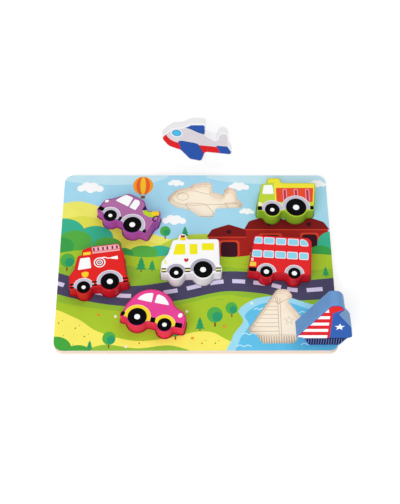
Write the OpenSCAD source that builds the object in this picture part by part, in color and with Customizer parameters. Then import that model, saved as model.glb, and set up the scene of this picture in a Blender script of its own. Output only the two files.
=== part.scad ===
// Chunky vehicle puzzle. A two-ply board with a printed sheet has eight shaped recesses, and eight thick
// wooden vehicles fit them. Six are seated. Two stand on edge and lean back, facing the front: the airplane
// on the floor behind the board, and the sailboat on the board's front right corner. The origin is the
// middle of the board's underside, +Z is up and the board's front edge faces -Y.

/* [Board] */
// Width of the board, left to right
board_w = 300; // [296:1:312]
// Depth of the board, front to back
board_d = 225; // [221:1:236]
// Radius of the board's corners
corner_r = 10; // [6:0.5:14]
// Thickness of the backing panel, which is the floor of the recesses
backing_t = 3; // [2:0.5:5]
// Thickness of the frame panel, which is most of the depth of the recesses
frame_t = 6; // [5:0.5:9]
// Thickness of the printed sheet glued on the frame panel
picture_t = 0.3; // [0.2:0.05:0.5]

/* [Vehicles] */
// Side of the square sheet that each vehicle is drawn on
sheet = 100; // [95:1:103]
// Thickness of every vehicle
block_t = 20; // [15:0.5:26]
// Width of the bevel round a vehicle's face and back
bevel = 0.8; // [0.5:0.1:1.2]
// Gap round a vehicle in its recess
fit_gap = 1; // [0.6:0.1:1.4]
// Wood left round a printed tyre
tyre_rim = 1.5; // [1.2:0.1:1.9]
// Radius of the inside corners beside the wheels
sill_fillet = 2; // [1.8:0.1:2.4]

/* [Print on the vehicles] */
// Thickness of the ink
ink_t = 0.2; // [0.1:0.05:0.3]
// Bare line between two printed shapes
ink_gap = 0.5; // [0.3:0.1:0.8]
// Width of the mudguard printed round a tyre
mudguard_w = 3.8; // [3:0.1:4.2]

/* [Vehicles out of their recesses] */
// Distance from the board's back edge to the foot of the airplane's face
airplane_behind = 19.5; // [17:0.5:40]
// Distance from the middle of the board to the middle of the standing airplane
airplane_aside = 1.5; // [-10:0.5:10]
// Backward lean of the standing airplane, in degrees
airplane_lean = 30; // [20:1:36]
// Turn of the airplane in the plane of its face, in degrees
airplane_turn = -8; // [-15:1:10]
// Backward lean of the standing sailboat, in degrees
sailboat_lean = 12; // [4:1:16]
// Distance from the board's right edge to the middle of the standing sailboat
sailboat_inset = 16.5; // [15:0.5:30]
// Distance from the board's front edge to the foot of the sailboat's face
sailboat_setback = 4; // [3:0.5:12]
// Gap under the standing vehicles
stand_gap = 0.1; // [0.05:0.05:0.3]

/* [Hidden] */
$fn = 72;

flatness = 0.1;       // farthest that a straight facet of an outline strays from its arc
sill_straight = 0.1;  // extra distance that leaves a short straight stretch between a wheel and its fillet
board_top = backing_t + frame_t;
picture_top = board_top + picture_t;

// Places of the recesses: the middle as shares of the board's width and depth, and the turn in degrees
pickup_place_share = [-0.25, 0.209, -30];
dump_truck_place_share = [0.34, 0.311, 0];
fire_engine_place_share = [-0.347, -0.098, 8];
ambulance_place_share = [-0.017, -0.027, 1];
bus_place_share = [0.307, -0.053, -4];
car_place_share = [-0.153, -0.338, -13];
airplane_place_share = [0.033, 0.347, 0];
sailboat_place_share = [0.287, -0.32, 0];

// OUTLINES
// A vehicle is drawn in its own frame, nose first and upright, in shares of the sheet. Its outline is a
// belt pulled tight round discs [x, y, radius], listed counter-clockwise. A disc with a radius below zero
// lies outside the belt and rounds an inside corner.
function sized(shares) = [for (s = shares) s * sheet];

// Outward direction of the straight stretch between two discs
function stretch_normal(a, b) =
    let (way = [b.x - a.x, b.y - a.y], l = norm(way), e = way / l, k = (a.z - b.z) / l)
    k * e + sqrt(max(0, 1 - k * k)) * [e.y, -e.x];

function heading(direction) = atan2(direction.y, direction.x);

// Turn along a disc's arc: to the left on a disc inside the belt, to the right on one outside it
function arc_turn(from, to, r) =
    let (turn = (to - from) % 360)
    r > 0 ? (turn < 0 ? turn + 360 : turn) : (turn > 0 ? turn - 360 : turn);

function arc_step(r) = 2 * acos(1 - flatness / max(abs(r), flatness));

// Points of a belt, moved outwards by grow
function belt(discs, grow = 0) =
    let (n = len(discs))
    [for (i = [0 : n - 1])
        let (d = discs[i],
             from = heading(stretch_normal(discs[(i + n - 1) % n], d)),
             turn = arc_turn(from, heading(stretch_normal(d, discs[(i + 1) % n])), d.z),
             steps = max(1, ceil(abs(turn) / arc_step(d.z))))
        for (j = [0 : steps])
            [d.x, d.y] + (d.z + grow) * [cos(from + turn * j / steps), sin(from + turn * j / steps)]];

// Discs of the underside: each wheel with its rim of wood, between two fillets that meet the sill
function sill_disc(wheel, sill, side) =
    let (drop = wheel.y - sill + sill_fillet, reach = wheel.z + tyre_rim + sill_fillet + sill_straight)
    [wheel.x + side * sqrt(reach * reach - drop * drop), sill - sill_fillet, -sill_fillet];

function underside(wheels, sill) = [
    for (w = wheels)
        for (d = [sill_disc(w, sill, -1), [w.x, w.y, w.z + tyre_rim], sill_disc(w, sill, 1)]) d];

// Each wheel: the middle of its axle, then the radius of its tyre and of its hub
pickup_wheels = sized([[-0.177, -0.093, 0.072, 0.022], [0.098, -0.075, 0.099, 0.032]]);
dump_truck_wheels = sized([[-0.164, -0.145, 0.082, 0.024], [0.104, -0.113, 0.113, 0.035]]);
fire_engine_wheels = sized([[-0.19, -0.196, 0.072, 0.022], [0.095, -0.164, 0.099, 0.032]]);
ambulance_wheels = sized([[-0.166, -0.197, 0.073, 0.023], [0.124, -0.164, 0.102, 0.032]]);
bus_wheels = sized([[-0.152, -0.14, 0.067, 0.028], [0.15, -0.14, 0.067, 0.028]]);
car_wheels = sized([[-0.15, -0.073, 0.1, 0.031], [0.152, -0.101, 0.075, 0.024]]);

// Each vehicle's discs: the lower front corner, the underside, then round the back and over the top
pickup_front_shares = [[-0.328, -0.085, 0.025]];
pickup_sill_share = -0.111;
pickup_body_shares = [
    [0.28, -0.08, 0.025], [0.316, 0.055, -0.02], [0.286, 0.11, 0.03], [0.263, 0.198, 0.032],
    [0.156, 0.194, -0.02], [0.018, 0.204, 0.066], [-0.125, 0.205, 0.065],
    [-0.296, 0.185, -0.06], [-0.308, 0.042, 0.038]
];

dump_truck_front_shares = [[-0.31, -0.133, 0.026]];
dump_truck_sill_share = -0.16;
dump_truck_body_shares = [
    [0.28, -0.133, 0.026], [0.308, 0.193, 0.032], [-0.03, 0.246, -0.02], [-0.092, 0.253, 0.04],
    [-0.17, 0.25, 0.043], [-0.234, 0.237, -0.02], [-0.248, 0.178, 0.034], [-0.28, -0.03, 0.045]
];

fire_engine_front_shares = [[-0.318, -0.18, 0.026]];
fire_engine_sill_share = -0.207;
fire_engine_body_shares = [
    [0.275, -0.177, 0.025], [0.281, -0.142, 0.019], [0.303, -0.1, -0.021], [0.202, 0.16, 0.08],
    [0.225, 0.282, 0.025], [-0.05, 0.277, 0.03], [-0.13, 0.247, 0.038], [-0.19, 0.228, -0.021],
    [-0.202, 0.184, 0.022], [-0.316, 0.066, -0.05], [-0.295, -0.053, 0.04]
];

ambulance_front_shares = [[-0.309, -0.176, 0.027]];
ambulance_sill_share = -0.204;
ambulance_body_shares = [
    [0.303, -0.176, 0.027], [0.31, -0.136, 0.02], [0.33, -0.092, -0.021], [0.274, 0.193, 0.035],
    [-0.023, 0.249, -0.02], [-0.09, 0.255, 0.045], [-0.157, 0.248, -0.02], [-0.17, 0.189, 0.037],
    [-0.298, 0.068, -0.05], [-0.285, -0.065, 0.04]
];

bus_front_shares = [[-0.322, -0.123, 0.028]];
bus_sill_share = -0.153;
bus_body_shares = [[0.305, -0.124, 0.028], [0.268, 0.26, 0.065], [-0.265, 0.285, 0.04]];

car_front_shares = [[-0.31, -0.083, 0.025]];
car_sill_share = -0.109;
car_body_shares = [
    [0.334, -0.082, 0.026], [0.244, -0.008, 0.118], [0.244, 0.164, -0.04], [-0.028, 0.043, 0.251],
    [-0.208, 0.015, 0.1], [-0.331, -0.018, -0.021], [-0.313, -0.064, 0.022]
];

airplane_shares = [
    [-0.36, 0.01, 0.048], [-0.27, 0.005, 0.105], [-0.195, -0.158, -0.04], [-0.03, -0.155, 0.065],
    [0.06, -0.183, 0.043], [0.138, -0.128, -0.022], [0.388, -0.063, 0.036], [0.386, 0.024, -0.02],
    [0.293, 0.104, 0.06], [0.206, 0.089, -0.024], [0.11, 0.127, -0.026], [0.038, 0.202, 0.039],
    [-0.085, 0.185, 0.038], [-0.185, 0.209, -0.04], [-0.288, 0.109, 0.032]
];

sailboat_shares = [
    [-0.273, -0.166, 0.025], [-0.237, -0.218, -0.02], [-0.149, -0.294, 0.019], [0.154, -0.294, 0.019],
    [0.25, -0.218, -0.02], [0.261, -0.169, 0.024], [0.168, -0.06, 0.099], [0.142, 0.184, -0.023],
    [0.138, 0.25, 0.029], [0.08, 0.244, 0.082], [0.039, 0.284, 0.039]
];

function outline(front_shares, wheels, sill_share, body_shares) =
    concat(sized(front_shares), underside(wheels, sill_share * sheet), sized(body_shares));

pickup_discs = outline(pickup_front_shares, pickup_wheels, pickup_sill_share, pickup_body_shares);
dump_truck_discs = outline(
    dump_truck_front_shares, dump_truck_wheels, dump_truck_sill_share, dump_truck_body_shares);
fire_engine_discs = outline(
    fire_engine_front_shares, fire_engine_wheels, fire_engine_sill_share, fire_engine_body_shares);
ambulance_discs = outline(
    ambulance_front_shares, ambulance_wheels, ambulance_sill_share, ambulance_body_shares);
bus_discs = outline(bus_front_shares, bus_wheels, bus_sill_share, bus_body_shares);
car_discs = outline(car_front_shares, car_wheels, car_sill_share, car_body_shares);
airplane_discs = sized(airplane_shares);
sailboat_discs = sized(sailboat_shares);

// Lowest point of an outline that is turned
function lowest(discs, turn = 0) =
    min([for (d = discs) if (d.z > 0) d.x * sin(turn) + d.y * cos(turn) - d.z]);

// PLACES
module in_recess(place) {
    translate([place.x * board_w, place.y * board_d]) rotate(place.z) children();
}

module seated(place) {
    translate([0, 0, backing_t]) in_recess(place) children();
}

// Stands a vehicle on edge: it leans back on its lowest back line, and foot is the lowest line of its face
module standing(foot, low, lean, turn = 0) {
    low_line = low * cos(lean) + bevel * sin(lean);
    face_line = low * sin(lean) - block_t * cos(lean);
    translate([foot.x, foot.y - face_line, foot.z + stand_gap - low_line])
        rotate([90 - lean, 0, 0]) rotate(turn) children();
}

// The airplane stands on the tip of its near wing
module standing_behind() {
    foot = [airplane_aside, board_d / 2 + airplane_behind, 0];
    standing(foot, lowest(airplane_discs, airplane_turn), airplane_lean, airplane_turn) children();
}

// The sailboat stands on its keel
module standing_on_corner() {
    foot = [board_w / 2 - sailboat_inset, sailboat_setback - board_d / 2, picture_top];
    standing(foot, lowest(sailboat_discs), sailboat_lean) children();
}

// BOARD
module board_outline() {
    inner_w = board_w - 2 * corner_r;
    inner_d = board_d - 2 * corner_r;
    square([board_w, inner_d], center = true);
    square([inner_w, board_d], center = true);
    for (x = [-1, 1], y = [-1, 1]) translate([x * inner_w / 2, y * inner_d / 2]) circle(corner_r);
}

module recess(place, discs) {
    in_recess(place) polygon(belt(discs, fit_gap));
}

// A layer of the board from one height to another, cut through by all eight recesses
module cut_layer(bottom, thickness) {
    translate([0, 0, bottom]) linear_extrude(thickness) difference() {
        board_outline();
        recess(pickup_place_share, pickup_discs);
        recess(dump_truck_place_share, dump_truck_discs);
        recess(fire_engine_place_share, fire_engine_discs);
        recess(ambulance_place_share, ambulance_discs);
        recess(bus_place_share, bus_discs);
        recess(car_place_share, car_discs);
        recess(airplane_place_share, airplane_discs);
        recess(sailboat_place_share, sailboat_discs);
    }
}

module backing_panel() {
    color("burlywood") linear_extrude(backing_t) board_outline();
}

module frame_panel() {
    color("wheat") cut_layer(backing_t, frame_t);
}

module printed_picture() {
    color("yellowgreen") cut_layer(board_top, picture_t);
}

// VEHICLES
// A thick block with beveled edges: four rings of points, joined by two triangles a side
module block(discs) {
    rings = [[-bevel, 0], [0, bevel], [0, block_t - bevel], [-bevel, block_t]];
    n = len(belt(discs));
    last = len(rings) - 1;
    polyhedron(
        [for (ring = rings) for (p = belt(discs, ring[0])) [p.x, p.y, ring[1]]],
        concat(
            [[for (i = [0 : n - 1]) i]],
            [for (k = [0 : last - 1]) for (i = [0 : n - 1])
                let (j = (i + 1) % n) each [
                    [k * n + i, (k + 1) * n + i, (k + 1) * n + j], [k * n + i, (k + 1) * n + j, k * n + j]]],
            [[for (i = [n - 1 : -1 : 0]) last * n + i]]
        )
    );
}

// Ink on the flat part of a vehicle's face
module ink(discs) {
    translate([0, 0, block_t]) linear_extrude(ink_t) intersection() {
        polygon(belt(discs, -bevel));
        children();
    }
}

module tyres(wheels) {
    for (w = wheels) translate([w.x, w.y]) difference() {
        circle(w.z);
        circle(w[3]);
    }
}

module hubs(wheels) {
    for (w = wheels) translate([w.x, w.y]) circle(w[3] - ink_gap);
}

module mudguards(wheels) {
    for (w = wheels) translate([w.x, w.y]) difference() {
        circle(w.z + mudguard_w);
        circle(w.z + ink_gap);
    }
}

// Room that the other printed shapes leave round the wheels
module wheel_room(wheels) {
    for (w = wheels) translate([w.x, w.y]) circle(w.z + mudguard_w + ink_gap);
}

// Patches are drawn in shares of the sheet: corner points, or [left, bottom, right, top]
module patch(shares) {
    polygon(sized(shares));
}

module strip(share) {
    translate([share[0], share[1]] * sheet) square([share[2] - share[0], share[3] - share[1]] * sheet);
}

module spot(share) {
    translate([share.x, share.y] * sheet) circle(share.z * sheet);
}

module wheel_ink(discs, wheels, guard_colour) {
    color("black") ink(discs) tyres(wheels);
    color("white") ink(discs) hubs(wheels);
    color(guard_colour) ink(discs) mudguards(wheels);
}

pickup_front_window_shares = [[-0.235, 0.108], [-0.068, 0.108], [-0.08, 0.237], [-0.18, 0.233]];
pickup_rear_window_shares = [[-0.053, 0.106], [0.027, 0.106], [0.028, 0.2], [0, 0.237], [-0.053, 0.23]];
pickup_load_shares = [
    [0.15, 0.105], [0.22, 0.11], [0.28, 0.16], [0.285, 0.21], [0.24, 0.225], [0.13, 0.17]];
pickup_bumper_share = [-0.34, -0.089, -0.285, -0.038];
pickup_headlight_share = [-0.315, 0.052, 0.019];

module pickup_block() {
    color("mediumpurple") seated(pickup_place_share) block(pickup_discs);
}

module pickup_print() {
    seated(pickup_place_share) {
        wheel_ink(pickup_discs, pickup_wheels, "lightgray");
        color("white") ink(pickup_discs) {
            patch(pickup_front_window_shares);
            patch(pickup_rear_window_shares);
            spot(pickup_headlight_share);
        }
        color("yellowgreen") ink(pickup_discs) patch(pickup_load_shares);
        color("black") ink(pickup_discs) strip(pickup_bumper_share);
    }
}

dump_truck_window_shares = [[-0.267, 0.068], [-0.14, 0.07], [-0.15, 0.193], [-0.245, 0.19]];
dump_truck_bed_shares = [[-0.115, -0.04], [0.293, -0.04], [0.312, 0.152], [-0.115, 0.152]];
dump_truck_rim_share = [-0.115, 0.157, 0.34, 0.24];
dump_truck_load_share = [-0.2, 0.23, -0.055, 0.29];
dump_truck_headlight_share = [-0.315, -0.092, -0.276, -0.045];

module dump_truck_block() {
    color("yellowgreen") seated(dump_truck_place_share) block(dump_truck_discs);
}

module dump_truck_print() {
    seated(dump_truck_place_share) {
        wheel_ink(dump_truck_discs, dump_truck_wheels, "lightgray");
        color("white") ink(dump_truck_discs) patch(dump_truck_window_shares);
        color("orangered") ink(dump_truck_discs) difference() {
            patch(dump_truck_bed_shares);
            wheel_room(dump_truck_wheels);
        }
        color("gold") ink(dump_truck_discs) {
            strip(dump_truck_rim_share);
            strip(dump_truck_load_share);
            strip(dump_truck_headlight_share);
        }
    }
}

fire_engine_window_shares = [[-0.233, 0.025], [-0.086, 0.032], [-0.09, 0.168], [-0.193, 0.169]];
fire_engine_light_share = [-0.161, 0.2, -0.074, 0.244];
fire_engine_ladder_share = [-0.05, 0.21, 0.24, 0.29];
fire_engine_ladder_rail_share = 0.016;
fire_engine_ladder_gap_share = 0.034;
fire_engine_reel_share = [0.01, 0.089, 0.06];
fire_engine_nozzle_shares = [[0.136, 0.115], [0.21, 0.1], [0.21, 0.145], [0.136, 0.139]];
fire_engine_badge_share = [-0.159, -0.045, 0.036];
fire_engine_ladder_gaps = 5;

module fire_engine_block() {
    color("red") seated(fire_engine_place_share) block(fire_engine_discs);
}

module ladder(share, gaps) {
    inner = [
        share[0] + fire_engine_ladder_rail_share, share[1] + fire_engine_ladder_rail_share,
        share[2] - fire_engine_ladder_rail_share, share[3] - fire_engine_ladder_rail_share
    ];
    pitch = (inner[2] - inner[0] - fire_engine_ladder_gap_share) / (gaps - 1);
    difference() {
        strip(share);
        for (i = [0 : gaps - 1])
            let (left = inner[0] + i * pitch)
            strip([left, inner[1], left + fire_engine_ladder_gap_share, inner[3]]);
    }
}

module fire_engine_print() {
    seated(fire_engine_place_share) {
        wheel_ink(fire_engine_discs, fire_engine_wheels, "lightgray");
        color("white") ink(fire_engine_discs) {
            patch(fire_engine_window_shares);
            patch(fire_engine_nozzle_shares);
            spot(fire_engine_reel_share);
        }
        color("mistyrose") ink(fire_engine_discs) ladder(fire_engine_ladder_share, fire_engine_ladder_gaps);
        color("gold") ink(fire_engine_discs) {
            strip(fire_engine_light_share);
            spot(fire_engine_badge_share);
        }
    }
}

ambulance_windows_shares = [
    [[-0.2, 0.028], [-0.062, 0.031], [-0.064, 0.166], [-0.164, 0.168]],
    [[-0.016, 0.031], [0.07, 0.031], [0.07, 0.166], [-0.016, 0.166]],
    [[0.117, 0.081], [0.251, 0.081], [0.251, 0.172], [0.117, 0.172]]
];
ambulance_lamp_base_share = [-0.118, 0.213, -0.055, 0.245];
ambulance_lamp_share = [-0.114, 0.25, -0.064, 0.278];
ambulance_motif_share = [-0.055, -0.039, 0.026];
ambulance_headlight_share = [-0.296, -0.088, -0.268, -0.032];

module ambulance_block() {
    color("white") seated(ambulance_place_share) block(ambulance_discs);
}

module ambulance_print() {
    seated(ambulance_place_share) {
        wheel_ink(ambulance_discs, ambulance_wheels, "lavender");
        color("gold") ink(ambulance_discs) {
            for (window = ambulance_windows_shares) patch(window);
            strip(ambulance_lamp_base_share);
            strip(ambulance_headlight_share);
        }
        color("firebrick") ink(ambulance_discs) {
            strip(ambulance_lamp_share);
            spot(ambulance_motif_share);
        }
    }
}

// Two rows of windows: the left and right ends of the row, its bottom and its top
bus_window_rows_share = [[-0.305, 0.295, 0.21, 0.3], [-0.303, 0.296, 0.036, 0.13]];
bus_window_gap_share = 0.013;
bus_row_windows = 5;
bus_headlight_share = [-0.337, -0.079, -0.266, -0.026];
bus_bumper_share = [-0.347, -0.145, -0.256, -0.095];

module bus_block() {
    color("red") seated(bus_place_share) block(bus_discs);
}

module bus_print() {
    seated(bus_place_share) {
        wheel_ink(bus_discs, bus_wheels, "lightgray");
        color("lightblue") ink(bus_discs)
            for (row = bus_window_rows_share)
                let (pitch = (row[1] - row[0] + bus_window_gap_share) / bus_row_windows)
                for (i = [0 : bus_row_windows - 1])
                    let (left = row[0] + i * pitch)
                    strip([left, row[2], left + pitch - bus_window_gap_share, row[3]]);
        color("gold") ink(bus_discs) strip(bus_headlight_share);
        color("black") ink(bus_discs) difference() {
            strip(bus_bumper_share);
            wheel_room(bus_wheels);
        }
    }
}

car_rear_window_shares = [
    [-0.201, 0.132], [-0.043, 0.129], [-0.049, 0.238], [-0.07, 0.241], [-0.135, 0.216], [-0.18, 0.175]];
car_front_window_shares = [
    [-0.012, 0.132], [0.145, 0.135], [0.125, 0.173], [0.075, 0.22], [0.013, 0.241], [-0.009, 0.229]];
car_headlight_share = [0.288, 0.044, 0.024];
car_bumpers_share = [[-0.334, -0.1, -0.289, -0.04], [0.264, -0.099, 0.344, -0.049]];

module car_block() {
    color("deeppink") seated(car_place_share) block(car_discs);
}

module car_print() {
    seated(car_place_share) {
        wheel_ink(car_discs, car_wheels, "yellow");
        color("white") ink(car_discs) {
            patch(car_rear_window_shares);
            patch(car_front_window_shares);
            spot(car_headlight_share);
        }
        color("black") ink(car_discs) difference() {
            for (bumper = car_bumpers_share) strip(bumper);
            wheel_room(car_wheels);
        }
    }
}

airplane_window_share = [-0.245, 0.091, 0.042];
airplane_far_wing_shares = [
    [-0.16, 0.174], [0, 0.133], [0.067, 0.122], [0.076, 0.155], [0.09, 0.26], [-0.16, 0.26]];
airplane_near_wing_shares = [
    [-0.21, -0.015], [-0.18, 0.001], [-0.1, -0.002], [0, -0.01], [0.03, -0.037], [0.07, -0.086],
    [0.095, -0.12], [0.12, -0.2], [0.05, -0.26], [-0.08, -0.26], [-0.17, -0.14], [-0.176, -0.086]];
airplane_nose_belly_shares = [
    [-0.42, 0.08], [-0.372, 0.07], [-0.35, 0.034], [-0.32, 0.012], [-0.28, -0.01], [-0.222, -0.023],
    [-0.188, -0.086], [-0.18, -0.14], [-0.42, -0.14]];
airplane_rear_belly_shares = [
    [0.045, -0.02], [0.215, -0.017], [0.24, -0.075], [0.25, -0.12], [0.11, -0.12], [0.092, -0.086]];
airplane_tailplane_shares = [
    [0.225, -0.001], [0.36, 0.004], [0.4, -0.02], [0.44, -0.06], [0.41, -0.12], [0.275, -0.12],
    [0.275, -0.064]];

module airplane_block() {
    color("white") standing_behind() block(airplane_discs);
}

module airplane_print() {
    standing_behind() {
        color("royalblue") ink(airplane_discs) {
            patch(airplane_far_wing_shares);
            patch(airplane_near_wing_shares);
            patch(airplane_tailplane_shares);
        }
        color("red") ink(airplane_discs) {
            patch(airplane_nose_belly_shares);
            patch(airplane_rear_belly_shares);
        }
        color("deepskyblue") ink(airplane_discs) spot(airplane_window_share);
    }
}

sailboat_deck_share = -0.192;
sailboat_mast_share = [0.023, -0.192, 0.048, 0.22];
sailboat_stripe_share = 0.056;
sailboat_stripe_gap_share = 0.045;
sailboat_stripes = 4;
sailboat_star_share = [0.137, -0.016, 0.055];
sailboat_star_points = 5;
sailboat_star_waist_share = 0.4;
sailboat_pennant_shares = [
    [0.015, 0.195], [0.05, 0.205], [0.09, 0.225], [0.14, 0.245], [0.17, 0.25], [0.18, 0.34], [0.01, 0.34]];

module sailboat_block() {
    color("steelblue") standing_on_corner() block(sailboat_discs);
}

module star(share, points, waist) {
    radius = share.z * sheet;
    translate([share.x, share.y] * sheet) polygon([
        for (i = [0 : 2 * points - 1])
            let (a = 90 + 180 * i / points, r = i % 2 == 0 ? radius : waist * radius) r * [cos(a), sin(a)]]);
}

// The left sail has level stripes, from the deck up
module sail_stripes() {
    left = min([for (d = sailboat_shares) d.x]) - sailboat_stripe_share;
    for (i = [0 : sailboat_stripes - 1])
        let (low = sailboat_deck_share + sailboat_stripe_gap_share
                 + i * (sailboat_stripe_share + sailboat_stripe_gap_share))
        strip([left, low, sailboat_mast_share[0], low + sailboat_stripe_share]);
}

module sailboat_print() {
    standing_on_corner() {
        color("red") ink(sailboat_discs) {
            strip(sailboat_mast_share);
            sail_stripes();
            patch(sailboat_pennant_shares);
        }
        color("white") ink(sailboat_discs)
            star(sailboat_star_share, sailboat_star_points, sailboat_star_waist_share);
    }
}

backing_panel();
frame_panel();
printed_picture();
pickup_block();
pickup_print();
dump_truck_block();
dump_truck_print();
fire_engine_block();
fire_engine_print();
ambulance_block();
ambulance_print();
bus_block();
bus_print();
car_block();
car_print();
airplane_block();
airplane_print();
sailboat_block();
sailboat_print();
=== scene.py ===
"""A chunky wooden vehicle puzzle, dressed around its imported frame."""

import math

import bmesh
import bpy
from mathutils import Matrix, Vector
from mathutils.geometry import delaunay_2d_cdt


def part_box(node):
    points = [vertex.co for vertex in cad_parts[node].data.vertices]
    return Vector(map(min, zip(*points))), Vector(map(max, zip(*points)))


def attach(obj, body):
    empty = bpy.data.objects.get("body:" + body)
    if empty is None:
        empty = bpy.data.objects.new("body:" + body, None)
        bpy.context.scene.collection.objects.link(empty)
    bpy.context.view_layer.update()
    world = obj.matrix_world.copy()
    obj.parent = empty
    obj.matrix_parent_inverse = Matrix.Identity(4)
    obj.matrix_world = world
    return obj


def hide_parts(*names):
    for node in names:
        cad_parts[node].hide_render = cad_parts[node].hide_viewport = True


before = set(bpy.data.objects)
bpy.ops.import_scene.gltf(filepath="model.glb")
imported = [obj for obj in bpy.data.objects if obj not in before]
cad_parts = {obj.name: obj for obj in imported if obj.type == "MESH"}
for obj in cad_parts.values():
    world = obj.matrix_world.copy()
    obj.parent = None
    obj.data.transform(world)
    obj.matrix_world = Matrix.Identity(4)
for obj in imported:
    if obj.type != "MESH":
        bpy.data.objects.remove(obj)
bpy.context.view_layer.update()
mm = 0.001

# The view is the photograph's: a camera high in front of the board, a touch to the left of its middle.
# It was fitted to the board's four corners. The lens is given in pixels of the photograph's height.
photo_height, focal_pixels, sensor = 504, 1100, 36
elevation, azimuth, roll = (math.radians(angle) for angle in (58.39, -1.27, 1.06))
target, distance = Vector((4.75, 14.33, 0)) * mm, 1226.5 * mm
back = Vector((math.sin(azimuth) * math.cos(elevation), -math.cos(azimuth) * math.cos(elevation),
               math.sin(elevation)))
right = Vector((0, 0, 1)).cross(back).normalized()
up = back.cross(right)
right, up = right * math.cos(roll) + up * math.sin(roll), up * math.cos(roll) - right * math.sin(roll)
camera = bpy.data.objects.new("camera", bpy.data.cameras.new("camera"))
camera.data.sensor_width = sensor
camera.data.lens = focal_pixels / photo_height * sensor
turned = Matrix((right, up, back)).transposed().to_4x4()
camera.matrix_world = Matrix.Translation(target + back * distance) @ turned
bpy.context.scene.collection.objects.link(camera)
bpy.context.scene.camera = camera
bpy.context.scene.view_settings.view_transform = "Standard"


# The studio: a broad lamp from the front left, a weaker one from behind, and even white surroundings.
# The floor is white paper. It looks white by itself, so that it shows only where something shades it.
class Tone:
    """A number or a colour on its way through the nodes of a finish."""

    def __init__(self, tree, socket=None):
        self.tree, self.socket = tree, socket

    def node(self, kind, settings=None, values=None, output=0):
        """Adds a node. Its settings come first, then the values or tones that its sockets take."""
        made = self.tree.nodes.new("ShaderNode" + kind)
        for name, value in (settings or {}).items():
            setattr(made, name, value)
        for name, value in (values or {}).items():
            if isinstance(value, Tone):
                self.tree.links.new(value.socket, made.inputs[name])
            else:
                made.inputs[name].default_value = value
        return Tone(self.tree, made.outputs[output])

    def maths(self, operation, *values):
        return self.node("Math", {"operation": operation}, dict(enumerate(values)))

    def __add__(self, other):
        return self.maths("ADD", self, other)

    def __mul__(self, other):
        return self.maths("MULTIPLY", self, other)

    def __gt__(self, other):
        return self.maths("GREATER_THAN", self, other)

    def __abs__(self):
        return self.maths("ABSOLUTE", self)

    __radd__, __rmul__ = __add__, __mul__

    def clamp(self):
        return self.node("Clamp", values={0: self})

    def mix(self, low, high):
        """The colour from low to high that this tone picks."""
        factor, first_colour, second_colour, mixed_colour = 0, 6, 7, 2
        return self.node("Mix", {"data_type": "RGBA"},
                         {factor: self, first_colour: low, second_colour: high}, mixed_colour)

    def feed(self, node, name):
        self.tree.links.new(self.socket, node.inputs[name])


def colour(code):
    """A colour written as in a picture editor, as Blender's linear colour."""
    parts = [int(code[i:i + 2], 16) / 255 for i in (0, 2, 4)]
    return (*(p / 12.92 if p <= 0.04045 else ((p + 0.055) / 1.055) ** 2.4 for p in parts), 1)


def finish(name):
    """A new material: its shader, and a tone to start its nodes from."""
    material = bpy.data.materials.new(name)
    material.use_nodes = True
    return material, material.node_tree.nodes["Principled BSDF"], Tone(material.node_tree)


def lamp(name, place, size, watts):
    area_lamp = bpy.data.lights.new(name, "AREA")
    area_lamp.size, area_lamp.energy = size, watts
    made = bpy.data.objects.new(name, area_lamp)
    made.location = place
    made.rotation_euler = (target - Vector(place)).to_track_quat("-Z", "Y").to_euler()
    bpy.context.scene.collection.objects.link(made)


def looked_at(start):
    """1 where the camera sees it straight, in a reflection or through glass."""
    seen, mirrored, through = (start.node("LightPath", output="Is %s Ray" % kind)
                               for kind in ("Camera", "Glossy", "Transmission"))
    return (seen + mirrored + through).clamp()


lamp("key_lamp", (-0.55, -1.35, 1.05), size=1.5, watts=21)
lamp("fill_lamp", (0.5, 1.0, 1.3), size=1.4, watts=8.5)

surroundings = bpy.data.worlds.new("studio")
surroundings.use_nodes = True
bpy.context.scene.world = surroundings
air, light_level = Tone(surroundings.node_tree), 0.5
(light_level + (1 - light_level) * looked_at(air)).feed(surroundings.node_tree.nodes["Background"], "Color")

floor_width, floor_glow = 12, 0.25
floor_paper, paper_shader, paper = finish("floor_paper")
paper_shader.inputs["Base Color"].default_value = colour("F6F6F6")
paper_shader.inputs["Roughness"].default_value = 1
paper_shader.inputs["Specular IOR Level"].default_value = 0
paper_shader.inputs["Emission Strength"].default_value = floor_glow
looked_at(paper).feed(paper_shader, "Emission Color")
bpy.ops.mesh.primitive_plane_add(size=floor_width)
floor = bpy.context.object
floor.name = "floor"
floor.data.materials.append(floor_paper)


# The board: two sheets of birch plywood, sanded and glued. The upper one is cut through for the eight
# recesses, so its plies show on their walls, and the bare face of the lower one is their floor.
def birch(name, face, figure, early, late):
    """Bare plywood: fine grain along X on the flat, light and dark plies round the edge."""
    ply, grain_depth, flat_limit = 1.5 * mm, 0.1 * mm, 0.7
    fine_stretch, broad_stretch = (18, 420, 60), (5, 34, 10)
    material, shader, start = finish(name)
    place = start.node("TexCoord", output="Object")
    grain = start.node("TexNoise", values={
        "Vector": start.node("Mapping", values={"Vector": place, "Scale": fine_stretch}),
        "Scale": 1, "Detail": 4, "Roughness": 0.55})
    broad = start.node("TexNoise", values={
        "Vector": start.node("Mapping", values={"Vector": place, "Scale": broad_stretch}),
        "Scale": 1, "Detail": 3, "Distortion": 0.6})
    flat = (grain * 0.55 + broad * 0.45).mix(colour(face), colour(figure))
    height = start.node("SeparateXYZ", values={0: place}, output=2)
    wave = start.maths("SINE", height * (math.pi / ply) + broad * 0.8)
    edge = (wave * 2.2 + 0.5).clamp().mix(colour(late), colour(early))
    upward = start.node("SeparateXYZ", values={0: start.node("NewGeometry", output="True Normal")}, output=2)
    (abs(upward) > flat_limit).mix(edge, flat).feed(shader, "Base Color")
    (0.62 + grain * 0.16).feed(shader, "Roughness")
    start.node("Bump", values={"Height": grain, "Distance": grain_depth}).feed(shader, "Normal")
    return material


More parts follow.
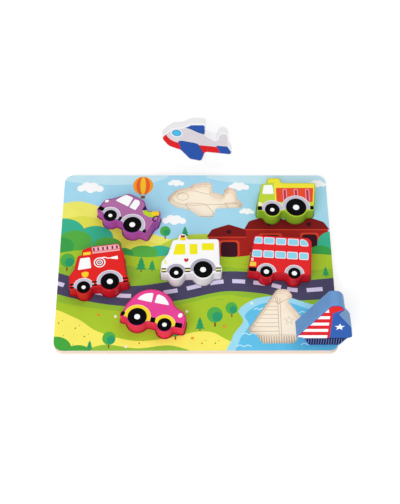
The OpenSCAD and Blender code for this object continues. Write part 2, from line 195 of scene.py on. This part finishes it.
bare_birch = birch("bare_birch", "FFF7E6", "F8E8CF", "FBEADC", "EAD0BC")
cut_birch = birch("cut_birch", "E9E4D4", "E3D7C4", "E8DDD2", "D6C0AE")
for node, wood in (("backing_panel", bare_birch), ("frame_panel", cut_birch)):
    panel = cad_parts[node]
    panel.data.materials.clear()
    panel.data.materials.append(wood)


# The picture on the board: a printed sheet laminated on the upper panel, with the same eight openings.
# It shows a plain countryside in flat printed colours. Its shapes are in millimetres from the middle.
def disc(x, y, radius, height=None, turn=0, corners=44):
    """A round or oval spot."""
    c, s = math.cos(math.radians(turn)), math.sin(math.radians(turn))
    tall = radius if height is None else height
    angles = (2 * math.pi * i / corners for i in range(corners))
    ring = [(radius * math.cos(a), tall * math.sin(a)) for a in angles]
    return [(x + c * u - s * v, y + s * u + c * v) for u, v in ring]


def box(left, bottom, right_side, top):
    return [(left, bottom), (right_side, bottom), (right_side, top), (left, top)]


def soft(points, radius=1.0, steps=5):
    """The same corners, rounded. Two roundings never meet on a side."""
    most_of_side = 0.48
    done = []
    for i, corner in enumerate(points):
        here = Vector(corner)
        to_last, to_next = Vector(points[i - 1]) - here, Vector(points[(i + 1) % len(points)]) - here
        reach = min(radius, most_of_side * to_last.length, most_of_side * to_next.length)
        first, last = here + to_last.normalized() * reach, here + to_next.normalized() * reach
        for k in range(steps + 1):
            t = k / steps
            done.append(tuple(first * (1 - t) ** 2 + here * (2 * t * (1 - t)) + last * t ** 2))
    return done


def smooth(points, closed=True, steps=7):
    """A smooth curve through the points."""
    count, done = len(points), []
    for i in range(count if closed else count - 1):
        a, b, c, d = (Vector(points[k % count] if closed else points[min(max(k, 0), count - 1)])
                      for k in (i - 1, i, i + 1, i + 2))
        for t in (k / steps for k in range(steps)):
            done.append(tuple(0.5 * (2 * b + (c - a) * t + (2 * a - 5 * b + 4 * c - d) * t * t
                                     + (3 * b - a - 3 * c + d) * t ** 3)))
    return done if closed else done + [tuple(points[-1])]


def band(points, width, closed=False):
    """A line of that width along the points, as one patch for each stretch."""
    count, sides = len(points), []
    for i in range(count):
        before = Vector(points[i - 1] if closed or i else points[0])
        after = Vector(points[(i + 1) % count] if closed or i < count - 1 else points[-1])
        along = (after - before).normalized()
        here, across = Vector(points[i]), Vector((-along.y, along.x)) * (width / 2)
        sides.append((tuple(here - across), tuple(here + across)))
    patches = []
    for i in range(count if closed else count - 1):
        (a, b), (c, d) = sides[i], sides[(i + 1) % count]
        along = Vector(points[(i + 1) % count]) - Vector(points[i])
        patches.append([*pinched(a, c, along), *reversed(pinched(b, d, along))])
    return patches


def pinched(start, end, along):
    """One side of a patch: its two ends, or the middle of them where a tight bend makes it run back."""
    least = 0.001
    gone = Vector(end) - Vector(start)
    return [start, end] if gone.dot(along) > least else [tuple(Vector(start) + gone / 2)]


def area(shape):
    return sum(a[0] * b[1] - b[0] * a[1] for a, b in zip(shape, shape[1:] + shape[:1])) / 2


inks = {}


def ink(code, rough=0.5, shine=0.03):
    """Printed or painted colour on sanded wood: it wanders a little, and the grain lifts it."""
    cloud_scale, fibre_stretch, fibre_depth, deepest, palest = 55, (160, 1500, 400), 0.03 * mm, 0.92, 1.06
    if code not in inks:
        inks[code], shader, start = finish("ink_" + code)
        place = start.node("TexCoord", output="Object")
        wander = start.node("TexNoise", values={"Vector": place, "Scale": cloud_scale, "Detail": 3})
        fibre = start.node("TexNoise", values={
            "Vector": start.node("Mapping", values={"Vector": place, "Scale": fibre_stretch}), "Scale": 1})
        deep, thin = (tuple(min(1, share * part) for part in colour(code)[:3]) + (1,)
                      for share in (deepest, palest))
        wander.mix(deep, thin).feed(shader, "Base Color")
        (rough - 0.06 + 0.14 * wander).feed(shader, "Roughness")
        shader.inputs["Specular IOR Level"].default_value = shine
        lifted = start.node("Bump", values={"Height": fibre, "Distance": fibre_depth, "Strength": 0.6})
        lifted.feed(shader, "Normal")
    return inks[code]


def printed(name, outline, layers, place, low, high, base=None, holes=()):
    """A closed slab of printed shapes, each layer over the last. Without a base it has the shapes alone."""
    shapes, marks = [outline], ["outline"]
    for number, (_, drawn) in enumerate(layers):
        shapes += drawn
        marks += [number] * len(drawn)
    shapes += holes
    marks += ["hole"] * len(holes)
    points, loops = [], []
    for shape in shapes:
        loops.append(list(range(len(points), len(points) + len(shape))))
        points += [Vector(p) for p in (shape if area(shape) > 0 else shape[::-1])]
    inside_only, joined_within = 1, 0.0001
    flat, _, faces, _, _, owners = delaunay_2d_cdt(points, [], loops, inside_only, joined_within, True)
    codes, kept, walls = ([base] if base else []) + [code for code, _ in layers], [], {}
    for face, found in zip(faces, ({marks[i] for i in owner} for owner in owners)):
        numbers = [mark for mark in found if isinstance(mark, int)]
        if "outline" in found and "hole" not in found and (numbers or base):
            layer = max(numbers, default=-1) + (1 if base else 0)
            kept.append((face, layer))
            walls.update({side: layer for side in zip(face, face[1:] + face[:1])})
    under = len(flat)
    polygons = [(list(face), layer) for face, layer in kept]
    polygons += [([under + i for i in reversed(face)], layer) for face, layer in kept]
    polygons += [([b, a, under + a, under + b], layer)
                 for (a, b), layer in walls.items() if (b, a) not in walls]
    mesh = bpy.data.meshes.new(name)
    mesh.from_pydata([place @ (Vector((p.x, p.y, z)) * mm) for z in (high, low) for p in flat], [],
                     [face for face, _ in polygons])
    used = list(dict.fromkeys(codes[layer] for _, layer in polygons))
    for code in used:
        mesh.materials.append(ink(code))
    mesh.polygons.foreach_set("material_index", [used.index(codes[layer]) for _, layer in polygons])
    tidy = bmesh.new()
    tidy.from_mesh(mesh)
    bmesh.ops.delete(tidy, geom=[v for v in tidy.verts if not v.link_faces], context="VERTS")
    tidy.to_mesh(mesh)
    tidy.free()
    made = bpy.data.objects.new(name, mesh)
    bpy.context.scene.collection.objects.link(made)
    return made


def cap_loops(node, place):
    """Outlines of a node's upper flat face in its own millimetres, the widest first, and its cut mesh."""
    welded, level = 0.0005 * mm, 0.01
    cut = bmesh.new()
    cut.from_mesh(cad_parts[node].data)
    bmesh.ops.remove_doubles(cut, verts=cut.verts, dist=welded)
    cut.transform(Matrix.Scale(1 / mm, 4) @ place.inverted())
    top = max(v.co.z for v in cut.verts)
    cap = {f for f in cut.faces if all(top - v.co.z < level for v in f.verts)}
    follow = {}
    for corner in (corner for face in cap for corner in face.loops):
        if sum(other in cap for other in corner.edge.link_faces) == 1:
            follow[corner.vert] = corner.link_loop_next.vert
    loops = []
    while follow:
        first, vert = follow.popitem()
        loop = [first]
        while vert is not first:
            loop.append(vert)
            vert = follow.pop(vert)
        loops.append([(v.co.x, v.co.y) for v in loop])
    return sorted(loops, key=lambda loop: -abs(area(loop))), cut


(board_outline, *openings), board_mesh = cap_loops("printed_picture", Matrix())
board_mesh.free()
edge_bottom = -120


def hill(points):
    """Ground below a smooth skyline."""
    line = smooth(points, closed=False)
    return [(line[0][0], edge_bottom), (line[-1][0], edge_bottom)] + line[::-1]


def cloud(x, y, size):
    return [disc(x + size * u, y + size * v, size * r) for u, v, r in (
        (-1.2, 0, 0.5), (-0.5, 0.3, 0.65), (0.35, 0.2, 0.7), (1.15, -0.05, 0.5), (0, -0.1, 0.6))]


def round_tree(x, y, size, crown="52B04C", shade="2E9E6C"):
    trunk = box(x - 0.12 * size, y - 1.7 * size, x + 0.12 * size, y - 0.4 * size)
    return [("8A5A34", [trunk]), (crown, [disc(x, y, size, 1.12 * size)]),
            (shade, [disc(x + 0.3 * size, y - 0.3 * size, 0.62 * size, 0.7 * size)])]


def fir(x, y, size):
    tiers = [[(x - w * size, y + b * size), (x + w * size, y + b * size), (x, y + t * size)]
             for w, b, t in ((0.75, -1, 0.1), (0.6, -0.45, 0.6), (0.42, 0.1, 1.1))]
    return [("8A5A34", [box(x - 0.1 * size, y - 1.35 * size, x + 0.1 * size, y - size)]),
            ("2F9F5E", [soft(tier, 0.12 * size) for tier in tiers])]


def flower(x, y, petals):
    around = [(0.9 * math.cos(a), 0.9 * math.sin(a)) for a in (2 * math.pi * i / 5 for i in range(5))]
    return [(petals, [disc(x + u, y + v, 0.75, corners=12) for u, v in around]),
            ("F7C52C", [disc(x, y, 0.6, corners=12)])]


def barn(left, bottom, width, wall, roof):
    """A brick-red barn: a wide gabled roof, and a dark doorway with an orange frame."""
    right_side, middle, top = left + width, left + width / 2, bottom + wall
    gable = [(left - 2, top), (right_side + 2, top), (right_side - 4, top + roof * 0.6), (middle, top + roof),
             (left + 4, top + roof * 0.6)]
    doors = [soft(box(middle - half, bottom, middle + half, bottom + tall), 4)
             for half, tall in ((width * 0.25, wall * 0.84), (width * 0.2, wall * 0.76))]
    return [("A4231F", [box(left, bottom, right_side, top)]), ("7E1A1B", [soft(gable, 2)]),
            ("D9452A", band([(left - 1, top), (right_side + 1, top)], 1.2) + [doors[0]]),
            ("3C1522", [doors[1], disc(middle, top + roof * 0.42, 2.8)])]


road_line = smooth([(-160, -28), (-120, -40), (-70, -47), (-20, -40), (30, -29), (75, -32), (110, -40),
                    (160, -36)], closed=False, steps=10)
stream = smooth([(42, -124), (38, -98), (50, -78), (46, -64), (66, -50), (96, -48), (128, -58), (158, -54),
                 (164, -124)])
deep_water = [(x + (x - 110) * -0.1, y - 5 + (y + 85) * -0.05) for x, y in stream]

picture = [
    ("C3E6F3", [disc(-95, 112, 64, 13), disc(92, 112, 80, 12)]),
    ("FFFFFF", cloud(-120, 94, 9) + cloud(-22, 101, 5.5) + cloud(50, 96, 7) + cloud(140, 100, 6)
     + cloud(58, 62, 5) + cloud(-24, 50, 8)),
    ("F7A12B", [disc(-60, 98, 11.5, 12.5)]),
    ("F0622F", [disc(-60, 98, 7.8, 12.4)]),
    ("F9C531", [disc(-60, 98, 3.2, 12.3)]),
    ("8A5A34", [soft(box(-62.4, 80, -57.6, 84), 1)] + band([(-65, 88), (-62, 84)], 0.6)
     + band([(-55, 88), (-58, 84)], 0.6)),
    ("EFEC6C", [hill([(-160, 70), (-132, 76), (-100, 64), (-60, 38), (-20, 22), (20, 8)])]),
    ("E2E254", [hill([(-160, 50), (-125, 56), (-90, 44), (-50, 22), (-10, 10)])]),
    ("BCD446", [hill([(-60, 4), (-20, 28), (20, 32), (60, 24), (100, 6)])]),
]
for left, bottom, width, wall, roof in ((106, 12, 42, 26, 17), (14, 2, 46, 26, 17), (56, 8, 54, 30, 19)):
    picture += barn(left, bottom, width, wall, roof)
picture += [
    ("3CB48F", [disc(-148, 34, 24, 19), disc(-112, 28, 20, 15), disc(-40, 6, 17, 11), disc(150, 18, 15, 17)]),
    ("56AE46", [disc(-134, 22, 19, 15), disc(-98, 16, 16, 12), disc(-58, 7, 16, 10), disc(4, 2, 12, 9)]),
    ("3DA24C", [disc(-150, 16, 15, 12), disc(-80, 6, 11, 8), disc(138, 8, 13, 9)]),
    ("A8C931", [hill([(-160, 6), (-110, 12), (-60, 2), (-10, 6), (40, 2), (90, 8), (160, 4)])]),
    ("92BE36", [hill([(-160, -12), (-100, -6), (-40, -14), (20, -10), (90, -16), (160, -12)])]),
    ("4C4866", band(road_line, 25)),
    ("D8D2EF", [patch for i in range(2, len(road_line) - 4, 5) for patch in band(road_line[i:i + 4], 5)]),
    ("A8C931", [hill([(-160, -52), (-110, -62), (-60, -66), (-10, -56), (30, -46), (60, -50), (160, -64)])]),
    ("FAEE66", [smooth([(-160, -66), (-128, -74), (-104, -90), (-66, -101), (-30, -98), (4, -90), (26, -96),
                        (46, -124), (-164, -124)])]),
    ("94C23B", [smooth([(-124, -124), (-100, -106), (-62, -110), (-24, -107), (4, -124)])]),
    ("47A841", [disc(-148, -110, 17, 14), disc(-124, -117, 15, 11)]),
    ("3A9A46", [disc(-139, -120, 14, 9), disc(-158, -122, 10, 11)]),
    ("9FDDF3", [stream]),
    ("63C2EA", [deep_water]),
]
for x, y, size in ((-141, -2, 8), (-34, 36, 6), (-92, -98, 7), (20, -70, 8.5), (38, -62, 6.5), (-22, -88, 7)):
    picture += round_tree(x, y, size)
for x, y, size in ((-60, -6, 8), (-48, -8, 6), (4, -80, 7), (-112, -106, 5), (142, -16, 5.5), (-12, 36, 6)):
    picture += fir(x, y, size)
for x, y in ((-144, -98), (-134, -108), (-128, -86), (-146, -80), (-118, -96), (-60, -104), (6, -104),
             (20, -104)):
    picture.append(("7C6A2B", [disc(x, y, 0.8, corners=12), disc(x + 4, y + 3, 0.55, corners=12)]))
for x, y in ((-86, -72), (-10, -66), (-74, -108), (-4, -98), (30, -84), (-104, -70), (60, -56), (-60, 44)):
    picture += flower(x, y, "FFFFFF" if (x + y) % 3 else "F0622F")
for x, y, width in ((56, -94, 8), (118, -68, 8), (130, -84, 9), (50, -108, 8), (118, -106, 8), (68, -64, 6)):
    rise = y + 1.8
    crest = smooth([(x - width, y), (x - width / 2, rise), (x, y), (x + width / 2, rise), (x + width, y)],
                   closed=False, steps=5)
    picture.append(("BFEAF8", band(crest, 1.2)))
for x, y in ((-146, -8), (-90, -1), (-20, -18), (56, -8), (122, -6), (-64, -76), (26, -52), (-120, 2),
             (0, -14)):
    picture.append(("57A233", [[(x + 2 * lean - 0.4, y), (x + 2 * lean + 0.4, y), (x + 3 * lean, y + 2.6)]
                               for lean in (-1.2, 0, 1.2)]))

sheet_low, sheet_high = (corner.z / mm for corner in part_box("printed_picture"))
sky = "A6DAF0"
landscape = printed("printed_landscape", board_outline, picture, Matrix(), sheet_low, sheet_high, sky,
                    openings)
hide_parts("printed_picture")
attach(landscape, "board")


# The pick-up truck: one thick piece of wood with rounded edges, dipped in purple paint. Its face is
# printed, and bare wood at the bottom of its recess carries the same drawing in thin brown lines.
# Each printed face carries a thin band along its border: painted shade and painted highlight at the rounded
# edge.
block_thickness, round_over, print_thickness, edge_light_and_shade_width = 20, 0.8, 0.2, 1.2
drawn_line, line_height, line_brown, drawing_inset = 0.45, 0.04, "B8977A", 0.6
floor_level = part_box("backing_panel")[1].z / mm


def lie(x, y, turn=0):
    """Place of a vehicle, or of its drawing, face up in its recess."""
    return Matrix.Translation(Vector((x, y, floor_level)) * mm) @ Matrix.Rotation(math.radians(turn), 4, "Z")


def painted_block(name, node, place, code, steps=6):
    """The wooden vehicle with its edges rounded over, on the outline of its solid, and its two outlines."""
    level, rough, shine = 0.05, 0.4, 0.25
    (face_loop,), cut = cap_loops(node, place)
    fullest = [v.co.xy for v in cut.verts if abs(block_thickness - round_over - v.co.z) < level]
    side_loop = [tuple(min(fullest, key=lambda p: (p - Vector(q)).length)) for q in face_loop]
    cut.free()
    angles = (0.5 * math.pi * i / steps for i in range(steps + 1))
    quarter = [(1 - math.cos(a), 1 - math.sin(a)) for a in angles]
    rings = [(inward, round_over * drop) for inward, drop in reversed(quarter)]
    rings += [(inward, block_thickness - round_over * drop) for inward, drop in quarter]
    rings[0] = (rings[0][0], 2 * line_height)
    count, verts = len(face_loop), []
    for inward, height in rings:
        for a, b in zip(side_loop, face_loop):
            x, y = (p + (q - p) * inward for p, q in zip(a, b))
            verts.append(place @ (Vector((x, y, height)) * mm))
    faces = [list(range(count))[::-1], list(range((len(rings) - 1) * count, len(rings) * count))]
    for row in range(0, (len(rings) - 1) * count, count):
        faces += [[row + i, row + (i + 1) % count, row + count + (i + 1) % count, row + count + i]
                  for i in range(count)]
    mesh = bpy.data.meshes.new(name)
    mesh.from_pydata(verts, [], faces)
    mesh.polygons.foreach_set("use_smooth", [len(f) == 4 for f in faces])
    mesh.materials.append(ink(code, rough, shine))
    made = bpy.data.objects.new(name, mesh)
    bpy.context.scene.collection.objects.link(made)
    made.modifiers.new("even_shine", "WEIGHTED_NORMAL")
    return made, face_loop, side_loop


def vehicle(body, place, recess, paint, base, edge, shapes, details):
    """A vehicle: its painted block, its printed face, and the main shapes again, drawn in its recess."""
    block, face_loop, side_loop = painted_block(body + "_wood", body + "_block", place, paint)
    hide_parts(body + "_block")
    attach(block, body)
    # The band along the face's border is painted light and shade. On most vehicles it is darker than the
    # face, a painted shade at the rounded edge. On the dump truck and the airplane it is paler than the face,
    # a painted highlight.
    rim = (edge, band(face_loop, edge_light_and_shade_width, closed=True))
    face = printed(body + "_face", face_loop, shapes + [rim] + details, place, block_thickness,
                   block_thickness + print_thickness, base)
    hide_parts(body + "_print")
    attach(face, body)
    inset = [tuple(p + (q - p) * drawing_inset for p, q in zip(a, b)) for a, b in zip(side_loop, face_loop)]
    strokes = band(inset, drawn_line, closed=True)
    for shape in (shape for _, drawn in shapes for shape in drawn):
        strokes += band(shape, drawn_line, closed=True)
    drawing = printed(body + "_recess_drawing", inset, [(line_brown, strokes)], recess, 0, line_height)
    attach(drawing, "board")


def arch(x, y, radius, first, last, steps=30):
    """A disc cut off by a straight line from the first angle to the last."""
    angles = (math.radians(first + (last - first) * i / steps) for i in range(steps + 1))
    return [(x + radius * math.cos(a), y + radius * math.sin(a)) for a in angles]


black = "040305"


def mudguards(*places, guard="C6C2D0", rim="F3F0F6", width=3.6, first=-8, last=188):
    """Mudguards over wheels (x, y, tyre, hub), with pale rims."""
    rim_line = 0.6
    return [(rim, [arch(x, y, tyre + width + rim_line, first, last) for x, y, tyre, _ in places]),
            (guard, [arch(x, y, tyre + width, first, last) for x, y, tyre, _ in places])]


def wheels(*places):
    """Black tyres, printed a little taller than wide, and white hubs."""
    tallness = 1.04
    return [(black, [disc(x, y, tyre, tallness * tyre) for x, y, tyre, _ in places]),
            ("FFFFFF", [disc(x, y, hub) for x, y, _, hub in places])]


pickup_place = lie(-75, 47.025, -30)
pickup_wheels = (-17.7, -9.3, 7.3, 2.2), (9.8, -7.5, 10.1, 3.2)
vehicle("pickup", pickup_place, pickup_place, "AE46AE", "B06CA4", "67306F", [
    *mudguards(*pickup_wheels, last=195),
    *wheels(*pickup_wheels),
    ("FFFFFF", [soft([(-23.5, 10.8), (-6.8, 10.8), (-8, 23.7), (-18, 23.3)], 1.6),
                soft([(-5.3, 10.6), (2.7, 10.6), (2.8, 20), (0, 23.8), (-5.3, 23)], 1.4)]),
    ("B9D22C", [smooth([(10.5, 14.5), (17, 19.6), (25, 22.6), (29, 20.4), (28, 14.5), (21, 10.8),
                        (14, 11)])]),
], [
    ("F3CB35", [smooth([(20, 19.8), (25, 22), (28.4, 19.7), (27, 14.6), (22, 14.4)])]),
    ("241A5E", [soft([(8.8, 14.8), (12.2, 15.4), (13.4, 18), (11.6, 21.6), (8.8, 21.4)], 0.8)]),
    ("FFFFFF", [disc(-31.3, 5.2, 2.3, 1.7, 50)]),
    (black, [soft(box(-36, -8.9, -28.1, -3.8), 1), soft(box(-7.9, -9.8, -4.3, -4.8), 0.6),
             soft(box(23.8, -10.4, 27.6, -6), 0.8)]),
    ("1C0F2E", band(smooth([(30.4, 16.4), (26.4, 15), (25.4, 11.5), (27.2, 8.6), (30, 9.8)], False), 1.5)),
])


# The dump truck: a lime cab and chassis with a yellow and orange bed, sawn from the same thick wood.
# The ribs of the bed and the load above the cab are part of the print.
dump_truck_place = lie(102, 69.975)
dump_truck_wheels = (-16.4, -14.5, 8.3, 2.4), (10.4, -11.3, 11.5, 3.5)
rib_places = (-1.4, 11.2, 24.1)
vehicle("dump_truck", dump_truck_place, dump_truck_place, "8CBE2C", "BCD63E", "CFCF3C", [
    ("F1E33A", [soft([(-25, 22.4), (-5, 22.4), (-6, 34), (-23, 34)], 1), box(-11.5, 15.2, 36, 25)]),
    ("F6E44C", [box(-13, -8, -11.2, 22), box(29.6, -10, 36, 16)]),
    ("E84E2E", [soft([(-11.2, -4), (29.3, -4), (31.2, 15.2), (-11.2, 15.2)], 0.8)]),
    ("F39AAC", [soft(box(u - 2.3, -3, u + 2.3, 13.8), 1.8) for u in rib_places]),
    ("B23747", [soft(box(u - 1.3, -3, u + 1.3, 12.6), 1) for u in rib_places]),
    *mudguards(*dump_truck_wheels, width=3.9),
    *wheels(*dump_truck_wheels),
    ("FFFFFF", [soft([(-26.7, 6.8), (-14, 7), (-15, 19.3), (-24.8, 19)], 1.4)]),
], [
    ("F8F0BE", [soft(box(-31.8, -9.2, -27.6, -4.5), 0.9)]),
    (black, [soft(box(-36, -15, -27.6, -9.8), 0.9), soft(box(26, -14.2, 30, -9.2), 0.8)]),
])


# The fire engine: the same thick wood, painted red. A ladder, a hose reel and a plain shield are printed
# on its face, with double black lines at the bumpers.
fire_engine_place = lie(-104.1, -22.05, 8)
fire_engine_wheels = (-19, -19.6, 7.3, 2.2), (9.5, -16.4, 10.1, 3.2)
reel_x, reel_y = 1, 8.9
vehicle("fire_engine", fire_engine_place, fire_engine_place, "C7101F", "E32826", "C21A24", [
    *mudguards(*fire_engine_wheels),
    *wheels(*fire_engine_wheels),
    ("EFB4BE", [box(-5.6, 21, 24.4, 22.9), box(-5.6, 23.6, 24.4, 32)]),
    ("FFFFFF", [soft([(-23.3, 2.5), (-8.6, 3.2), (-9, 16.8), (-19.3, 16.9)], 1.4), disc(reel_x, reel_y, 6.3),
                soft([(13.6, 11.9), (21.2, 10.2), (21.2, 14.8), (13.6, 13.9)], 0.7)]),
    ("F8CF2E", [soft([(-19.9, -1.6), (-16, -0.4), (-11.9, -1.6), (-12.6, -6), (-16, -8.6), (-19.2, -6)],
                     1.2)]),
    ("F6A42A", [soft(box(-16.8, 20, -7.1, 24.2), 1.4)]),
], [
    ("8C1230", [box(u - 0.95, 24, u + 0.95, 28.2) for u in (-3.6, 1.1, 6.4, 11.1, 16.7, 21.6)]),
    ("D00A18", band(disc(reel_x, reel_y, 4.3), 1.5, closed=True)),
    ("8A0C28", band(disc(reel_x, reel_y, 1.9), 1.2, closed=True)),
    ("200818", [disc(reel_x, reel_y, 0.6)]),
    ("FFFFFF", band(smooth([(3.2, 14.4), (7, 14.6), (10, 13.2), (14, 12.9)], False), 1.2)),
    ("FBE04A", [soft(box(-15.6, 20.6, -8.2, 23.2), 1)]),
    (black, [box(u, v, w, v + 1.9)
             for u, w in ((-36, -29), (-9.8, -4.2), (23.4, 36)) for v in (-15.6, -19.4)]),
])


# The ambulance: the same thick wood, painted white. Yellow windows, a small lamp on the roof and a plain
# red heart are printed on it.
ambulance_place = lie(-5.1, -6.075, 1)
ambulance_wheels = (-16.6, -19.7, 7.5, 2.3), (12.4, -16.4, 10.4, 3.2)
stripe_ends = ((-36, -27.4), (-7, -1.4), (26.4, 36))
vehicle("ambulance", ambulance_place, ambulance_place, "EFEAF2", "FDFCFE", "F5F3F7", [
    *mudguards(*ambulance_wheels, guard="B3AFC0"),
    *wheels(*ambulance_wheels),
    ("F4EA20", [soft([(-20, 2.8), (-6.2, 3.1), (-6.4, 16.6), (-16.4, 16.8)], 1.2),
                soft(box(-1.6, 3.1, 7, 16.6), 1.1), soft(box(11.7, 8.1, 25.1, 17.2), 1.1)]),
    ("F3D42A", [soft(box(-12, 21.2, -5.4, 25), 0.8)]),
    ("A03322", [soft(box(-11.2, 25, -6.2, 28), 1.2)]),
], [
    ("CF2F36", [smooth([(-5.5, -6.6), (-8.1, -3.9), (-7, -1.7), (-5.5, -2.6), (-4, -1.7), (-2.9, -3.9)])]),
    ("F3EFA0", [soft(box(-29.6, -8.8, -26.8, -3.2), 1)] + [box(u, -17.6, w, -15.4) for u, w in stripe_ends]),
    (black, [box(u, v, w, v + 1.6) for u, w in stripe_ends for v in (-15.5, -19.2)]),
])


# The bus: the same thick wood, painted red, with two rows of pale blue windows printed in light frames.
# The upper front corner leans back, and the upper rear one is round.
bus_place = lie(92.1, -11.925, -4)
bus_wheels = (-15.2, -14, 6.8, 2.8), (15, -14, 6.8, 2.8)
window_frames = [
    soft([(-31.6, 21), (-20.6, 21), (-20.6, 30), (-28.8, 30)], 1.8),
    *(soft(box(u, 21, w, 30), 1.8) for u, w in ((-19.3, -7.5), (-6.1, 5.3), (7, 19.2))),
    soft([(20.3, 21), (30, 21), (29.4, 26), (25.5, 30), (20.3, 30)], 2.4),
    *(soft(box(u, 3.6, w, 13), 1.8)
      for u, w in ((-31.6, -20.5), (-19.3, -7.6), (-6.4, 5.3), (6.3, 18.3), (19.7, 30))),
]


def pane(window_frame):
    """The glass in a frame: its outline again, drawn in round the middle."""
    width, height = 0.84, 0.78
    middle = sum((Vector(p) for p in window_frame), Vector((0, 0))) / len(window_frame)
    return [(middle.x + width * (x - middle.x), middle.y + height * (y - middle.y)) for x, y in window_frame]


vehicle("bus", bus_place, bus_place, "C81423", "E42A2C", "C41C26", [
    *mudguards(*bus_wheels, width=3.2),
    *wheels(*bus_wheels),
    ("F3E8F4", window_frames),
], [
    ("90D6EC", [pane(window_frame) for window_frame in window_frames]),
    ("F8D9CF", [soft(box(-32.4, -1.6, -29.6, 2.6), 1)]),
    ("F8CF4A", [soft(box(-36, -8, -26.6, -2.6), 1.4)]),
    (black, [soft(box(-37, -14.5, -25.6, -9.5), 2)]),
])


# The little car: the same thick wood, painted pink, with a round roof and its nose to the right.
# Its mudguards are printed yellow, and its bumpers and running board black.
car_place = lie(-45.9, -76.05, -13)
car_wheels = (-15, -7.3, 10.2, 3.1), (15.2, -10.1, 7.6, 2.4)
vehicle("car", car_place, car_place, "E02050", "EA4698", "C42C70", [
    *mudguards(*car_wheels, guard="F8D832", rim="FBE98A", width=3.7, first=-38, last=215),
    *wheels(*car_wheels),
    ("FFFFFF", [soft([(-20.1, 13.2), (-4.3, 12.9), (-4.9, 23.8), (-7, 24.1), (-13.5, 21.6), (-18, 17.5)],
                     1.2),
                soft([(-1.2, 13.2), (14.5, 13.5), (12.5, 17.3), (7.5, 22), (1.3, 24.1), (-0.9, 22.9)], 1.2)]),
], [
    ("FFFFFF", [disc(28.8, 4.4, 2.2, 2.8, -20)]),
    (black, [soft(box(-38, -9.6, -28.6, -3.6), 2.6), soft(box(-0.8, -11, 4.6, -4.4), 0.6),
             soft(box(25.9, -10.4, 33.6, -4.6), 0.8)]),
])


# The airplane, out of its recess: the same thick wood, painted white, with blue wings and a red belly.
# It stands behind the board on the tip of a wing and leans back.
def stand(x, y, z, lowest, lean, turn=0):
    """Place of a vehicle that leans back on edge: x, y and z are those of the foot of its face."""
    lean = math.radians(lean)
    low_line = lowest * math.cos(lean) + round_over * math.sin(lean)
    face_line = lowest * math.sin(lean) - block_thickness * math.cos(lean)
    return (Matrix.Translation(Vector((x, y - face_line, z - low_line)) * mm)
            @ Matrix.Rotation(math.radians(90) - lean, 4, "X") @ Matrix.Rotation(math.radians(turn), 4, "Z"))


board_right, board_back = (max(side) for side in zip(*board_outline))
gap_under = 0.1
aside, behind, lean_back, nose_up = 1.5, 19.5, 30, -8
wing_tip_x, wing_tip_y, wing_tip_radius = 6, -18.3, 4.3
wing_low = (wing_tip_x * math.sin(math.radians(nose_up)) + wing_tip_y * math.cos(math.radians(nose_up))
            - wing_tip_radius)
near_wing_top = smooth([(-21.4, -1.6), (-18, 0), (-10, -0.2), (0, -1), (3.4, -3.7), (7.2, -8.7), (9.6, -12)],
                       closed=False)
near_wing = near_wing_top + [(12, -20), (5, -27), (-8, -27), (-17, -16), (-17.4, -8.6)]
airplane_place = stand(aside, board_back + behind, gap_under, wing_low, lean_back, nose_up)
airplane_recess = lie(9.9, 78.075)
# Its face is printed a grey-lilac, darker than its white paint: painted shade on the face that leans back.
vehicle("airplane", airplane_place, airplane_recess, "FAF8FC", "DDD6DC", "E9E5EB", [
    ("E2262A", [smooth([(-44, 7), (-37, 6.2), (-34.6, 3.2), (-32, 1.2), (-28, -0.9), (-22, -2.3), (-10, -2.8),
                        (4, -2.2), (22, -1.6), (45, -2), (45, -16), (-44, -16)])]),
    ("2F57AC", [[(-17, 17.9), (-10, 16.6), (0, 13.4), (6.6, 12.2), (7.4, 15.5), (7.6, 19.8), (9, 27),
                 (-17, 27)],
                near_wing,
                soft([(22.6, -0.1), (36, 0.6), (40, -1.6), (45, -6), (42, -13), (28.5, -13), (27.4, -6.4)],
                     1.6)]),
    ("E6F2F8", [disc(-24.5, 9.1, 6.6, 5)]),
], [
    ("23427F", band([(-17, 17.6), (-10, 16.4), (0, 13.2), (6.6, 12), (7.6, 19.8)], 0.7)
     + band(near_wing_top, 0.7)),
    ("3F9CC4", [disc(-24.5, 9.1, 5.4, 3.9)]),
    ("4FB9EC", [disc(-24.3, 9.1, 4.2, 2.9)]),
])


# The sailboat, out of its recess: the same thick wood, painted light blue. One sail is striped, the other
# blue with a star, and the hull is navy. It stands on the board's corner on its keel and leans back.
keel, deck, mast_left, mast_right = -31.3, -19.2, 2.3, 4.8
stripe, stripe_gap, rib, rib_pitch = 5.6, 4.5, 0.8, 2.65
inset, setback, lean_back = 16.5, 4, 12
board_front, board_top = min(y for _, y in board_outline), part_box("printed_picture")[1].z / mm
sailboat_place = stand(board_right - inset, board_front + setback, board_top + gap_under, keel, lean_back)
sailboat_recess = lie(86.1, -72)
star_x, star_y, star_reach, star_waist = 13.7, -1.6, 5.5, 2.3
star = [(star_x + reach * math.cos(a), star_y + reach * math.sin(a))
        for a, reach in ((math.pi * (0.5 + i / 5), star_waist if i % 2 else star_reach) for i in range(10))]
stripe_bottoms = [deck + stripe_gap + i * (stripe + stripe_gap) for i in range(4)]
vehicle("sailboat", sailboat_place, sailboat_recess, "6596CE", "355FAE", "2C4C94", [
    ("FAF6F8", [box(-34, deck, mast_left, 27)]),
    ("D8262E", [box(-34, low, mast_left, low + stripe) for low in stripe_bottoms]),
    ("D8262E", [box(mast_left, deck, mast_right, 26)]),
    ("DE2A28", [smooth([(1.6, 19.6), (5, 20.4), (9, 22.4), (13.4, 24.6), (17, 25), (20, 36), (0, 36)])]),
    ("FFFFFF", [star]),
    ("141B42", [box(-34, -40, 34, deck)]),
    ("6276AE", [box(u, -40, u + rib, deck - 1) for u in (-27.6 + rib_pitch * i for i in range(21))]),
], [
    ("E9EDF6", band([(-34, deck), (mast_left, deck)], 0.7)),
])
